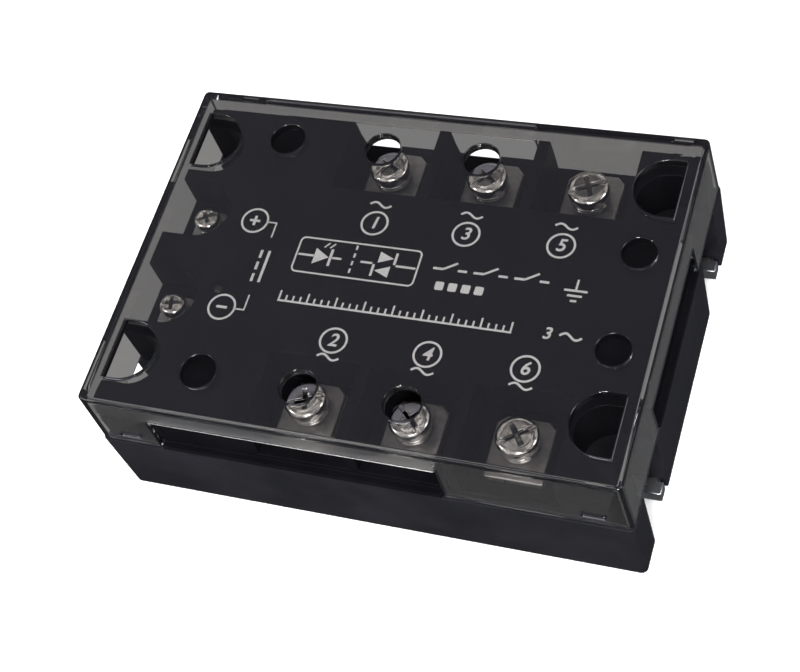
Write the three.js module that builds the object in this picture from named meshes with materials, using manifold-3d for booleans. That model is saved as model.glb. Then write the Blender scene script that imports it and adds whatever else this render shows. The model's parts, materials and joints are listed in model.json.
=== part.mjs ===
// Three-phase solid state relay with a clear cover and screw terminals.
// Millimetres. +X runs along the case towards the plain end, +Y to the line terminals, +Z up.
// The origin is the centre of the base plate's underside.
import * as THREE from 'three';
import { mergeVertices } from 'three/addons/utils/BufferGeometryUtils.js';
import Module from 'manifold-3d';

const wasm = await Module();
wasm.setup();

// ---- Driving dimensions ----------------------------------------------------------------

const GAP = 0.1; // clearance kept between stacked pieces
const RADIAL_GAP = 0.1; // running clearance of a shank in its hole
const THROUGH = 1; // how far a cutting tool passes a face

const plate = { halfX: 51.5, halfY: 35.5, lipHalfX: 52.8, thickness: 3, radius: 2 };
const mounting = { x: 46.5, y: 24.8, slotRadius: 2.5, seatRadius: 5, seatEndX: 49.2, seatDepth: 0.3 };

const lower = { halfX: 53.3, halfY: 37.3, bottom: 0.4, top: 20.2, radius: 1.2 };
const upper = { halfX: 51.3, halfY: 34.8, footHalfX: 52, footHalfY: 35.9, top: 30.5, radius: 0.6 };
const pocket = { halfX: 51.4, halfY: 35.3, floor: 19 };
const cavity = { halfX: 39, halfY: 33.3, ceiling: 19, tongueHalfX: 51.2, tongueHalfY: 17.2 };
const centreCavity = { minX: -37.2, maxX: 50, halfY: 16.8, ceiling: 28.5 };
const well = { radius: 5.6 };

const cover = {
  halfX: 52.6, halfY: 36.6, footHalfX: 53.1, footHalfY: 37, bottom: 19.3, top: 34.5,
  wall: 1.1, topThickness: 1.9, radius: 1,
};
const sideWindow = { minX: -40, maxX: 17.8, top: 28.5 };
const endWindow = { halfY: 16.8, top: 27 };
const windowMargin = 0.4;
const cornerHole = { x: 46.9, radius: 6.2, endX: 49.4 };
const snapSlot = { x: 46, halfLength: 2, bottom: 21.4, top: 22.2 };

const load = {
  x: [-10.2, 10.2, 30.6], y: 26.9, recessHalfX: 9.05, recessInnerY: 18.8, floor: 21.2,
  padHalfX: 5.2, padInnerY: 21.8, padOuterY: 32.2, padThickness: 0.9,
  legHalfX: 4.1, legThickness: 1, footInnerY: 11, footBottom: 4.5,
  collarRadius: 3.2, collarDepth: 1.2, cupRadius: 4.6, cupBottom: 12.6, boreRadius: 2.6, boreBottom: 13.6,
};
const loadClamp = { halfX: 5.6, halfY: 5.7, thickness: 1, chamfer: 1.6, holeRadius: 2.2, rise: 0.3 };
const loadClampShift = { back: 0.35, front: 0 }; // how far each row's plates sit towards +Y of their screws
const loadScrew = {
  headRadius: 4.05, headHeight: 2.6, shoulder: 1.8, crownRadius: 2.8, shankRadius: 1.95, shankLength: 10.1,
  driveLength: 4.6, driveWidth: 1, driveDepth: 1.5, slotWidth: 1, slotDepth: 0.9,
};
const loadWasher = { inner: 2.15, outer: 3.8, thickness: 2.1, split: 0.16 };
const loosened = { terminal: 2, lift: 1 }; // one load screw stands slightly open

const input = {
  x: -45, y: 10.2, recessRadius: 6.35, floor: 22.6, padHalfX: 3.2, padHalfY: 3.4, padThickness: 0.7,
  pinX: -41.3, pinHalf: 0.5, pinBottom: 12.4,
  cupRadius: 3.1, cupBottom: 17, boreRadius: 1.9, boreBottom: 17.8,
};
const inputClamp = { halfX: 3.1, halfY: 3.2, thickness: 0.8, chamfer: 0.7, holeRadius: 1.7, rise: 0.3 };
const inputScrew = {
  headRadius: 2.65, headHeight: 2.1, shoulder: 1.4, crownRadius: 1.6, shankRadius: 1.45, shankLength: 6.8,
  driveLength: 3.1, driveWidth: 0.7, driveDepth: 1.1, slotWidth: 0.7, slotDepth: 0.6,
};
const inputWasher = { inner: 1.6, outer: 2.5, thickness: 0.8, split: 0.2 };

const led = { x: -35, y: -7.1, radius: 1.4, holeRadius: 1.6, bottom: 18, top: 30.4, leadSpacing: 1.27 };
const board = { minX: -43.5, maxX: 37, halfY: 16.2, bottom: 13, top: 14.6 };
const ceramic = { halfX: 8.5, halfY: 15, bottom: 3.1, thickness: 1 };
const thyristor = { half: 3.5, y: 5.5, thickness: 0.5 };
const optocoupler = {
  halfX: 4.3, halfY: 3.2, bottom: 15.2, height: 3.5, pitch: 2.54, legHalf: 0.25, legY: 3.7,
};
const capacitor = { halfX: 6.5, y: 11, halfY: 2.8, height: 9 };
const resistor = { halfLength: 5.5, y: -10.5, radius: 1.9 };
const housingScrew = {
  x: 47.6, y: 8, headRadius: 2.8, headBottom: 0.2, coneHeight: 1.4, shankRadius: 1.4, top: 11,
  bossRadius: 3, pilotTop: 12,
};

const FINE = 28; // segments of a visible round hole
const COARSE = 16; // segments of a small round piece
const HIDDEN = 10; // segments of a hole or boss inside the case
const CUP_ROOT = 0.5; // how far a hanging boss reaches into the floor above it

// ---- Solids ------------------------------------------------------------------------------

// A three.js geometry as a manifold solid.
function solidOf(geometry) {
  const bare = geometry.index ? geometry.toNonIndexed() : geometry.clone();
  bare.deleteAttribute('normal');
  bare.deleteAttribute('uv');
  const merged = mergeVertices(bare, 1e-5);
  const vertProperties = new Float32Array(merged.attributes.position.array);
  const triVerts = new Uint32Array(merged.index.array);
  return new wasm.Manifold(new wasm.Mesh({ numProp: 3, vertProperties, triVerts }));
}

function geometryOf(solid) {
  const mesh = solid.getMesh();
  const geometry = new THREE.BufferGeometry();
  geometry.setAttribute('position', new THREE.BufferAttribute(new Float32Array(mesh.vertProperties), 3));
  geometry.setIndex(new THREE.BufferAttribute(new Uint32Array(mesh.triVerts), 1));
  geometry.computeVertexNormals();
  return geometry;
}

function joined(solids) {
  return solids.reduce((sum, solid) => sum.add(solid));
}

function cut(solid, tools) {
  return tools.reduce((rest, tool) => rest.subtract(tool), solid);
}

function block(minX, maxX, minY, maxY, minZ, maxZ) {
  const geometry = new THREE.BoxGeometry(maxX - minX, maxY - minY, maxZ - minZ);
  geometry.translate((minX + maxX) / 2, (minY + maxY) / 2, (minZ + maxZ) / 2);
  return solidOf(geometry);
}

function post(x, y, radius, minZ, maxZ, segments = COARSE) {
  const geometry = new THREE.CylinderGeometry(radius, radius, maxZ - minZ, segments);
  geometry.rotateX(Math.PI / 2);
  geometry.translate(x, y, (minZ + maxZ) / 2);
  return solidOf(geometry);
}

// Each arc of the outline gets arcSegments segments.
function prismGeometry(shape, minZ, maxZ, arcSegments = 4) {
  const geometry = new THREE.ExtrudeGeometry(shape, {
    depth: maxZ - minZ, bevelEnabled: false, curveSegments: arcSegments / 2,
  });
  geometry.translate(0, 0, minZ);
  return geometry;
}

function roundedRectangle(halfX, halfY, radius) {
  const shape = new THREE.Shape();
  shape.moveTo(-halfX + radius, -halfY);
  shape.lineTo(halfX - radius, -halfY);
  shape.absarc(halfX - radius, -halfY + radius, radius, -Math.PI / 2, 0);
  shape.lineTo(halfX, halfY - radius);
  shape.absarc(halfX - radius, halfY - radius, radius, 0, Math.PI / 2);
  shape.lineTo(-halfX + radius, halfY);
  shape.absarc(-halfX + radius, halfY - radius, radius, Math.PI / 2, Math.PI);
  shape.lineTo(-halfX, -halfY + radius);
  shape.absarc(-halfX + radius, -halfY + radius, radius, Math.PI, Math.PI * 1.5);
  return shape;
}

// A rounded block whose sides lean in from foot to head.
function draftedBlock(foot, head, radius, minZ, maxZ) {
  const geometry = prismGeometry(roundedRectangle(foot.halfX, foot.halfY, radius), minZ, maxZ);
  const points = geometry.attributes.position;
  for (let i = 0; i < points.count; i++) {
    if (points.getZ(i) > (minZ + maxZ) / 2) {
      points.setX(i, points.getX(i) * head.halfX / foot.halfX);
      points.setY(i, points.getY(i) * head.halfY / foot.halfY);
    }
  }
  return solidOf(geometry);
}

// A slot along X: a half circle about (x, y) at its closed end, straight from there to endX.
function slot(x, y, radius, endX, minZ, maxZ) {
  const start = endX > x ? Math.PI / 2 : -Math.PI / 2;
  const shape = new THREE.Shape();
  shape.absarc(x, y, radius, start, start + Math.PI);
  shape.lineTo(endX, shape.currentPoint.y);
  shape.lineTo(endX, 2 * y - shape.currentPoint.y);
  return solidOf(prismGeometry(shape, minZ, maxZ, FINE / 2));
}

function atCorners(x, y, make) {
  return [-1, 1].flatMap((sideX) => [-1, 1].map((sideY) => make(sideX * x, sideY * y, sideX, sideY)));
}

// ---- Base plate ----------------------------------------------------------------------------

function basePlateGeometry() {
  const outline = roundedRectangle(plate.halfX, plate.halfY, plate.radius);
  const body = solidOf(prismGeometry(outline, 0, plate.thickness));
  const lipHalfY = well.radius - 0.4;
  const lips = atCorners(0, mounting.y, (x, y, side) => {
    const [minX, maxX] = spanY(side, 0, plate.lipHalfX);
    const [minY, maxY] = side > 0 ? [y, y + lipHalfY] : [y - lipHalfY, y];
    return block(minX, maxX, minY, maxY, 0, plate.thickness);
  });
  const slots = atCorners(mounting.x, mounting.y, (x, y, side) => slot(
    x, y, mounting.slotRadius, side * (plate.lipHalfX + THROUGH), -THROUGH, plate.thickness + THROUGH,
  ));
  const seats = atCorners(mounting.x, mounting.y, (x, y, side) => slot(
    x, y, mounting.seatRadius, side * mounting.seatEndX,
    plate.thickness - mounting.seatDepth, plate.thickness + THROUGH,
  ));
  const countersinks = atCorners(housingScrew.x, housingScrew.y, (x, y) => countersink(x, y));
  return geometryOf(cut(joined([body, ...lips]), [...slots, ...seats, ...countersinks]));
}

function countersink(x, y) {
  const mouth = housingScrew.headRadius + 0.3;
  const throat = housingScrew.shankRadius + 0.2;
  const depth = housingScrew.headBottom + housingScrew.coneHeight;
  const cone = new THREE.LatheGeometry([
    new THREE.Vector2(0, -THROUGH), new THREE.Vector2(mouth, -THROUGH), new THREE.Vector2(mouth, 0),
    new THREE.Vector2(throat, depth), new THREE.Vector2(throat, plate.thickness + THROUGH),
    new THREE.Vector2(0, plate.thickness + THROUGH),
  ], HIDDEN);
  cone.rotateX(Math.PI / 2);
  cone.translate(x, y, 0);
  return solidOf(cone);
}

function housingScrewGeometry() {
  const { headRadius, headBottom, coneHeight, shankRadius, top } = housingScrew;
  const geometry = new THREE.LatheGeometry([
    new THREE.Vector2(0, headBottom), new THREE.Vector2(headRadius, headBottom),
    new THREE.Vector2(shankRadius, headBottom + coneHeight), new THREE.Vector2(shankRadius, top - 1.2),
    new THREE.Vector2(0, top),
  ], HIDDEN);
  geometry.rotateX(Math.PI / 2);
  const arm = (halfX, halfY) => block(-halfX, halfX, -halfY, halfY, headBottom - THROUGH, headBottom + 0.9);
  return geometryOf(cut(solidOf(geometry), [arm(1.5, 0.35), arm(0.35, 1.5)]));
}

// ---- Housing -------------------------------------------------------------------------------

function housingGeometry() {
  const outline = roundedRectangle(lower.halfX, lower.halfY, lower.radius);
  const base = solidOf(prismGeometry(outline, lower.bottom, lower.top));
  const foot = { halfX: upper.footHalfX, halfY: upper.footHalfY };
  const storey = draftedBlock(foot, upper, upper.radius, lower.top - THROUGH / 2, upper.top);
  const shell = cut(joined([base, storey]), [
    ...tabPockets(), ...cavities(), ...loadRecesses(), ...inputRecesses(), ledHole(),
  ]);
  const cups = [...loadCups(), ...inputCups(), ...screwBosses()];
  return geometryOf(cut(joined([shell, ...cups]), [...bores(), ...wells(), platePocket()]));
}

// The cover's tabs hang flush in shallow pockets around the upper storey.
function tabPockets() {
  const far = lower.halfX + THROUGH;
  const high = upper.top + THROUGH;
  const pockets = [-1, 1].flatMap((side) => {
    const near = side * pocket.halfY;
    const out = side * (lower.halfY + THROUGH);
    const [minY, maxY] = [Math.min(near, out), Math.max(near, out)];
    return [
      block(-far, sideWindow.minX + windowMargin, minY, maxY, pocket.floor, high),
      block(sideWindow.maxX - windowMargin, far, minY, maxY, pocket.floor, high),
    ];
  });
  const ends = [
    block(-far, -pocket.halfX, -far, far, pocket.floor, high),
    block(pocket.halfX, far, endWindow.halfY - windowMargin, far, pocket.floor, high),
    block(pocket.halfX, far, -far, -endWindow.halfY + windowMargin, pocket.floor, high),
  ];
  return [...pockets, ...ends];
}

function cavities() {
  const bottom = lower.bottom - THROUGH;
  const { halfX, halfY, ceiling, tongueHalfX, tongueHalfY } = cavity;
  return [
    block(-halfX, halfX, -halfY, halfY, bottom, ceiling),
    block(-tongueHalfX, tongueHalfX, -tongueHalfY, tongueHalfY, bottom, ceiling),
    block(
      centreCavity.minX, centreCavity.maxX, -centreCavity.halfY, centreCavity.halfY,
      bottom, centreCavity.ceiling,
    ),
  ];
}

function platePocket() {
  const margin = 0.3;
  return block(
    -plate.halfX - margin, plate.halfX + margin, -plate.halfY - margin, plate.halfY + margin,
    -THROUGH, plate.thickness + margin,
  );
}

function eachLoad(make) {
  return load.x.flatMap((x, phase) => [1, -1].map((side, row) => make(x, side, phase, 2 * phase + row + 1)));
}

function spanY(side, near, far) {
  return side > 0 ? [near, far] : [-far, -near];
}

function loadRecesses() {
  return eachLoad((x, side) => {
    const [minY, maxY] = spanY(side, load.recessInnerY, lower.halfY + THROUGH);
    return block(x - load.recessHalfX, x + load.recessHalfX, minY, maxY, load.floor, upper.top + THROUGH);
  });
}

function inputRecesses() {
  return [-1, 1].map((side) => slot(
    input.x, side * input.y, input.recessRadius, -lower.halfX - THROUGH, input.floor, upper.top + THROUGH,
  ));
}

function ledHole() {
  return post(led.x, led.y, led.holeRadius, centreCavity.ceiling - THROUGH, upper.top + THROUGH);
}

function loadCups() {
  return eachLoad((x, side) => post(
    x, side * load.y, load.cupRadius, load.cupBottom, cavity.ceiling + CUP_ROOT, HIDDEN,
  ));
}

function inputCups() {
  return [-1, 1].map((side) => post(
    input.x, side * input.y, input.cupRadius, input.cupBottom, cavity.ceiling + CUP_ROOT, HIDDEN,
  ));
}

function screwBosses() {
  return atCorners(housingScrew.x, housingScrew.y, (x, y) => post(
    x, y, housingScrew.bossRadius, plate.thickness, cavity.ceiling + CUP_ROOT, HIDDEN,
  ));
}

// Threaded holes' clearances, the terminal legs' slots and the housing screws' pilot holes.
function bores() {
  const collarHole = load.collarRadius + 0.3;
  const legSlack = 0.4;
  const legOuterY = load.padInnerY + load.legThickness;
  const collarFloor = load.floor - load.collarDepth - legSlack;
  const loadBores = eachLoad((x, side) => {
    const [minY, maxY] = spanY(side, load.padInnerY - legSlack, legOuterY + legSlack);
    return joined([
      post(x, side * load.y, load.boreRadius, load.boreBottom, load.floor + THROUGH, HIDDEN),
      post(x, side * load.y, collarHole, collarFloor, load.floor + THROUGH, HIDDEN),
      block(
        x - load.legHalfX - legSlack, x + load.legHalfX + legSlack, minY, maxY,
        load.cupBottom - THROUGH, load.floor + THROUGH,
      ),
    ]);
  });
  const inputBores = [-1, 1].flatMap((side) => [
    post(input.x, side * input.y, input.boreRadius, input.boreBottom, input.floor + THROUGH, HIDDEN),
    block(
      input.pinX - input.pinHalf - legSlack, input.pinX + input.pinHalf + legSlack,
      side * input.y - input.pinHalf - legSlack, side * input.y + input.pinHalf + legSlack,
      input.cupBottom, input.floor + THROUGH,
    ),
  ]);
  const pilots = atCorners(housingScrew.x, housingScrew.y, (x, y) => post(
    x, y, housingScrew.shankRadius + 2 * RADIAL_GAP, 0, housingScrew.pilotTop, HIDDEN,
  ));
  return [...loadBores, ...inputBores, ...pilots];
}

function wells() {
  return atCorners(mounting.x, mounting.y, (x, y, side) => slot(
    x, y, well.radius, side * (lower.halfX + THROUGH), -THROUGH, upper.top + THROUGH,
  ));
}

// ---- Cover ---------------------------------------------------------------------------------

function coverGeometry() {
  const { halfX, halfY, footHalfX, footHalfY, bottom, top, wall, topThickness, radius } = cover;
  const outer = draftedBlock({ halfX: footHalfX, halfY: footHalfY }, cover, radius, bottom, top);
  const inner = draftedBlock(
    { halfX: footHalfX - wall, halfY: footHalfY - wall }, { halfX: halfX - wall, halfY: halfY - wall },
    radius / 2, bottom - THROUGH / 10, top - topThickness,
  );
  return geometryOf(cut(outer, [inner, ...coverWindows(), ...coverHoles(), ...snapSlots()]));
}

function coverWindows() {
  const far = lower.halfX + THROUGH;
  return [
    block(sideWindow.minX, sideWindow.maxX, -far, far, cover.bottom - THROUGH, sideWindow.top),
    block(0, far, -endWindow.halfY, endWindow.halfY, cover.bottom - THROUGH, endWindow.top),
  ];
}

function coverHoles() {
  const [low, high] = [cover.top - cover.topThickness - THROUGH, cover.top + THROUGH];
  const corners = atCorners(cornerHole.x, mounting.y, (x, y, side) => slot(
    x, y, cornerHole.radius, side * cornerHole.endX, low, high,
  ));
  const rounds = roundCoverHoles().map(({ x, y, radius }) => post(x, y, radius, low, high, FINE));
  return [...corners, ...rounds];
}

// Screwdriver holes. The cover sits turned end for end, so one row of holes is over blank
// housing and the third phase and the inputs have none above them.
function roundCoverHoles() {
  const loadRadius = 3.5;
  const inputRadius = 3.2;
  const pitch = load.x[1] - load.x[0];
  const loadHoles = [load.x[0] - pitch, load.x[0], load.x[1]].flatMap(
    (x) => [-1, 1].map((side) => ({ x, y: side * load.y, radius: loadRadius })),
  );
  const inputHoles = [-1, 1].map((side) => ({ x: -input.x, y: side * input.y, radius: inputRadius }));
  return [...loadHoles, ...inputHoles];
}

function snapSlots() {
  return [-1, 1].flatMap((sideX) => [-1, 1].map((sideY) => {
    const [minY, maxY] = spanY(sideY, pocket.halfY, lower.halfY + THROUGH);
    const x = sideX * snapSlot.x;
    return block(x - snapSlot.halfLength, x + snapSlot.halfLength, minY, maxY, snapSlot.bottom, snapSlot.top);
  }));
}

// ---- Screw terminals -----------------------------------------------------------------------

// A pan head with a slot across it and a cross recess, its underside at z = 0.
function screwGeometry(size) {
  const { headRadius, headHeight, shoulder, crownRadius, shankRadius, shankLength } = size;
  const profile = new THREE.LatheGeometry([
    new THREE.Vector2(0, -shankLength), new THREE.Vector2(shankRadius - 0.4, -shankLength),
    new THREE.Vector2(shankRadius, -shankLength + 0.5), new THREE.Vector2(shankRadius, 0),
    new THREE.Vector2(headRadius, 0), new THREE.Vector2(headRadius, shoulder),
    new THREE.Vector2((headRadius + crownRadius) / 2 + 0.2, headHeight - 0.25),
    new THREE.Vector2(crownRadius, headHeight), new THREE.Vector2(0, headHeight),
  ], COARSE);
  profile.rotateX(Math.PI / 2);
  const { driveLength, driveWidth, driveDepth, slotWidth, slotDepth } = size;
  const arm = (length, width, depth, alongX) => {
    const [halfX, halfY] = alongX ? [length / 2, width / 2] : [width / 2, length / 2];
    return block(-halfX, halfX, -halfY, halfY, headHeight - depth, headHeight + THROUGH);
  };
  return geometryOf(cut(solidOf(profile), [
    arm(driveLength, driveWidth, driveDepth, true),
    arm(driveLength, driveWidth, driveDepth, false),
    arm(2 * headRadius + THROUGH, slotWidth, slotDepth, true),
  ]));
}

// A split ring, its underside at z = 0.
function washerGeometry({ inner, outer, thickness, split }) {
  const shape = new THREE.Shape();
  shape.absarc(0, 0, outer, split, Math.PI * 2 - split, false);
  shape.absarc(0, 0, inner, Math.PI * 2 - split, split, true);
  return prismGeometry(shape, 0, thickness, COARSE);
}

// A square plate with its two corners at -Y cut off, its underside at z = 0. The hole is at the
// origin, and the plate's middle lies the shift away from it towards -Y.
function clampGeometry({ halfX, halfY, thickness, chamfer, holeRadius }, shift = 0) {
  const [minY, maxY] = [-shift - halfY, -shift + halfY];
  const shape = new THREE.Shape();
  shape.moveTo(-halfX + chamfer, minY);
  shape.lineTo(halfX - chamfer, minY);
  shape.lineTo(halfX, minY + chamfer);
  shape.lineTo(halfX, maxY);
  shape.lineTo(-halfX, maxY);
  shape.lineTo(-halfX, minY + chamfer);
  const hole = new THREE.Path();
  hole.absarc(0, 0, holeRadius, 0, Math.PI * 2, true);
  shape.holes.push(hole);
  return prismGeometry(shape, 0, thickness, HIDDEN);
}

// Pad with a threaded collar, a leg down through the floor and a foot on the ceramic.
// Local x is across the pad, local y outwards from the case's centre line.
function loadTerminalGeometry() {
  const padBottom = load.floor + GAP;
  const padTop = padBottom + load.padThickness;
  const legOuterY = load.padInnerY + load.legThickness;
  const footTop = load.footBottom + load.legThickness;
  const body = joined([
    block(-load.padHalfX, load.padHalfX, load.padInnerY, load.padOuterY, padBottom, padTop),
    block(-load.legHalfX, load.legHalfX, load.padInnerY, legOuterY, load.footBottom, padTop),
    block(-load.legHalfX, load.legHalfX, load.footInnerY, legOuterY, load.footBottom, footTop),
    post(0, load.y, load.collarRadius, load.floor - load.collarDepth, padTop),
  ]);
  const thread = post(
    0, load.y, loadScrew.shankRadius + RADIAL_GAP, load.floor - load.collarDepth - THROUGH, padTop + THROUGH,
  );
  return geometryOf(cut(body, [thread]));
}

// Pad with a threaded hole and a square pin down to the board.
function inputTerminalGeometry() {
  const padBottom = input.floor + GAP;
  const padTop = padBottom + input.padThickness;
  const pinX = input.pinX - input.x;
  const body = joined([
    block(-input.padHalfX, pinX + input.pinHalf, -input.padHalfY, input.padHalfY, padBottom, padTop),
    block(
      pinX - input.pinHalf, pinX + input.pinHalf, -input.pinHalf, input.pinHalf, input.pinBottom, padTop,
    ),
  ]);
  const thread = post(0, 0, inputScrew.shankRadius + RADIAL_GAP, padBottom - THROUGH, padTop + THROUGH);
  return geometryOf(cut(body, [thread]));
}

// ---- Electronics ---------------------------------------------------------------------------

function controlBoardGeometry() {
  const slab = block(board.minX, board.maxX, -board.halfY, board.halfY, board.bottom, board.top);
  const pinHoles = [-1, 1].map((side) => post(
    input.pinX, side * input.y, input.pinHalf * Math.SQRT2 + 0.2,
    board.bottom - THROUGH, board.top + THROUGH, HIDDEN,
  ));
  const leadHoles = [-1, 1].map((side) => post(
    led.x, led.y + side * led.leadSpacing, 0.5, board.bottom - THROUGH, board.top + THROUGH, HIDDEN,
  ));
  return geometryOf(cut(slab, [...pinHoles, ...leadHoles]));
}

function statusLedGeometry() {
  const lens = post(led.x, led.y, led.radius, led.bottom + 1, led.top);
  const flange = post(led.x, led.y, led.radius + 0.35, led.bottom, led.bottom + 1.2, HIDDEN);
  const leads = [-1, 1].map((side) => {
    const y = led.y + side * led.leadSpacing;
    return block(led.x - 0.25, led.x + 0.25, y - 0.25, y + 0.25, board.bottom - 0.8, led.bottom + 0.5);
  });
  return geometryOf(joined([lens, flange, ...leads]));
}

// A six-pin package, standing on the board on bent legs. Its centre is at x = y = 0.
function optocouplerGeometry() {
  const { halfX, halfY, bottom, height, pitch, legHalf, legY } = optocoupler;
  const shoulderZ = bottom + height / 2;
  const legs = [-1, 0, 1].flatMap((column) => [-1, 1].map((side) => {
    const x = column * pitch;
    const [minY, maxY] = spanY(side, halfY - 0.2, legY + legHalf);
    const [tipMinY, tipMaxY] = spanY(side, legY, legY + legHalf);
    return joined([
      block(x - legHalf, x + legHalf, minY, maxY, shoulderZ, shoulderZ + legHalf),
      block(x - legHalf, x + legHalf, tipMinY, tipMaxY, board.top + GAP, shoulderZ + legHalf),
    ]);
  }));
  return geometryOf(joined([block(-halfX, halfX, -halfY, halfY, bottom, bottom + height), ...legs]));
}

function capacitorGeometry() {
  const { halfX, halfY, height } = capacitor;
  const floor = board.top + GAP;
  return prismGeometry(roundedRectangle(halfX, halfY, 0.6), floor, floor + height, 2);
}

function resistorGeometry() {
  const { halfLength, radius } = resistor;
  const bulge = radius;
  const waist = radius - 0.3;
  const geometry = new THREE.LatheGeometry([
    new THREE.Vector2(0, -halfLength), new THREE.Vector2(bulge, -halfLength + 0.4),
    new THREE.Vector2(bulge, -halfLength + 2.2), new THREE.Vector2(waist, -halfLength + 2.8),
    new THREE.Vector2(waist, halfLength - 2.8), new THREE.Vector2(bulge, halfLength - 2.2),
    new THREE.Vector2(bulge, halfLength - 0.4), new THREE.Vector2(0, halfLength),
  ], HIDDEN);
  geometry.rotateZ(Math.PI / 2);
  geometry.translate(0, 0, board.top + GAP + radius);
  return geometry;
}

function slabGeometry(halfX, halfY, bottom, thickness) {
  const geometry = new THREE.BoxGeometry(2 * halfX, 2 * halfY, thickness);
  geometry.translate(0, 0, bottom + thickness / 2);
  return geometry;
}

// ---- Materials -----------------------------------------------------------------------------

function material(color, roughness, metalness) {
  return new THREE.MeshStandardMaterial({ color, roughness, metalness });
}

const blackPlastic = material(0x1c1c20, 0.55, 0);
const smokeClear = new THREE.MeshStandardMaterial({
  color: 0x6f6c6c, roughness: 0.08, metalness: 0, transparent: true, opacity: 0.45,
});
const aluminium = material(0xb9bbbd, 0.35, 1);
const nickelSteel = material(0xa9a49d, 0.25, 1);
const clampSteel = material(0x7e7a79, 0.35, 1);
const copperBar = material(0xb08a5a, 0.35, 1);
const boardGreen = material(0x1f5a34, 0.5, 0);
const alumina = material(0xe8e4da, 0.6, 0);
const silicon = material(0x55585f, 0.25, 0.4);
const epoxyBlack = material(0x232326, 0.6, 0);
const capacitorYellow = material(0xc9a13a, 0.45, 0);
const resistorBeige = material(0xc8b48c, 0.5, 0);
const ledRed = material(0x3a1010, 0.2, 0);

// ---- Assembly ------------------------------------------------------------------------------

const relay = new THREE.Group();

function addPiece(parent, name, geometry, finish, x = 0, y = 0, z = 0, turn = 0) {
  const mesh = new THREE.Mesh(geometry, finish);
  mesh.name = name;
  mesh.position.set(x, y, z);
  mesh.rotation.z = turn;
  parent.add(mesh);
  return mesh;
}

// One clamp, washer and screw above a pad whose top is at padTop.
function addScrewStack(kind, label, sizes, padTop, x, y, turn, lift = 0, clampShift = 0) {
  const { clamp, washer, screw } = sizes;
  const clampZ = padTop + clamp.rise + lift;
  const washerZ = clampZ + clamp.thickness + GAP;
  const screwZ = washerZ + washer.thickness + GAP;
  const plateShape = clampGeometry(clamp, clampShift);
  addPiece(relay, `${kind}_clamp_${label}`, plateShape, clampSteel, x, y, clampZ, turn.clamp);
  const ring = washerGeometry(washer);
  addPiece(relay, `${kind}_spring_washer_${label}`, ring, nickelSteel, x, y, washerZ, turn.washer);
  addPiece(relay, `${kind}_screw_${label}`, screwGeometry(screw), nickelSteel, x, y, screwZ, turn.screw);
}

function addLoadTerminals() {
  const padTop = load.floor + GAP + load.padThickness;
  const sizes = { clamp: loadClamp, washer: loadWasher, screw: loadScrew };
  const driveAngles = [1.05, 0.35, 0.9, -0.75, 0.45, 0.15];
  eachLoad((x, side, phase, number) => {
    const outward = side > 0 ? 0 : Math.PI;
    addPiece(relay, `load_terminal_${number}`, loadTerminalGeometry(), copperBar, x, 0, 0, outward);
    const lift = number === loosened.terminal ? loosened.lift : 0;
    const turn = { clamp: Math.PI, washer: outward - 0.6, screw: driveAngles[number - 1] };
    const shift = side > 0 ? loadClampShift.back : loadClampShift.front;
    addScrewStack('load', number, sizes, padTop, x, side * load.y, turn, lift, shift);
  });
}

function addInputTerminals() {
  const padTop = input.floor + GAP + input.padThickness;
  const sizes = { clamp: inputClamp, washer: inputWasher, screw: inputScrew };
  [['plus', 1, 0.6], ['minus', -1, 0.2]].forEach(([label, side, angle]) => {
    const y = side * input.y;
    addPiece(relay, `input_terminal_${label}`, inputTerminalGeometry(), copperBar, input.x, y);
    const turn = { clamp: Math.PI / 2, washer: 2.2, screw: angle };
    addScrewStack('input', label, sizes, padTop, input.x, y, turn);
  });
}

function addElectronics() {
  const electronics = new THREE.Group();
  relay.add(electronics);
  addPiece(electronics, 'control_board', controlBoardGeometry(), boardGreen);
  addPiece(electronics, 'status_led', statusLedGeometry(), ledRed);
  load.x.forEach((x, phase) => {
    const number = phase + 1;
    const substrate = slabGeometry(ceramic.halfX, ceramic.halfY, ceramic.bottom, ceramic.thickness);
    addPiece(electronics, `ceramic_substrate_${number}`, substrate, alumina, x);
    [1, -1].forEach((side, row) => {
      const chip = slabGeometry(
        thyristor.half, thyristor.half, ceramic.bottom + ceramic.thickness + GAP, thyristor.thickness,
      );
      addPiece(electronics, `thyristor_chip_${2 * phase + row + 1}`, chip, silicon, x, side * thyristor.y);
    });
    addPiece(electronics, `optocoupler_${number}`, optocouplerGeometry(), epoxyBlack, x);
    const film = capacitorGeometry();
    addPiece(electronics, `snubber_capacitor_${number}`, film, capacitorYellow, x, capacitor.y);
    addPiece(electronics, `snubber_resistor_${number}`, resistorGeometry(), resistorBeige, x, resistor.y);
  });
}

function addHousingScrews() {
  atCorners(housingScrew.x, housingScrew.y, (x, y, sideX, sideY) => {
    const number = sideX + (sideY + 1) / 2 + 2;
    addPiece(relay, `housing_screw_${number}`, housingScrewGeometry(), nickelSteel, x, y);
  });
}

addPiece(relay, 'base_plate', basePlateGeometry(), aluminium);
addPiece(relay, 'housing', housingGeometry(), blackPlastic);
addPiece(relay, 'cover', coverGeometry(), smokeClear);
addLoadTerminals();
addInputTerminals();
addElectronics();
addHousingScrews();

export default relay;
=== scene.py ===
# Solid state relay with a clear cover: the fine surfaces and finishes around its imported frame.
import json
import math
import bmesh
import bpy
from mathutils import Matrix, Vector

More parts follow.
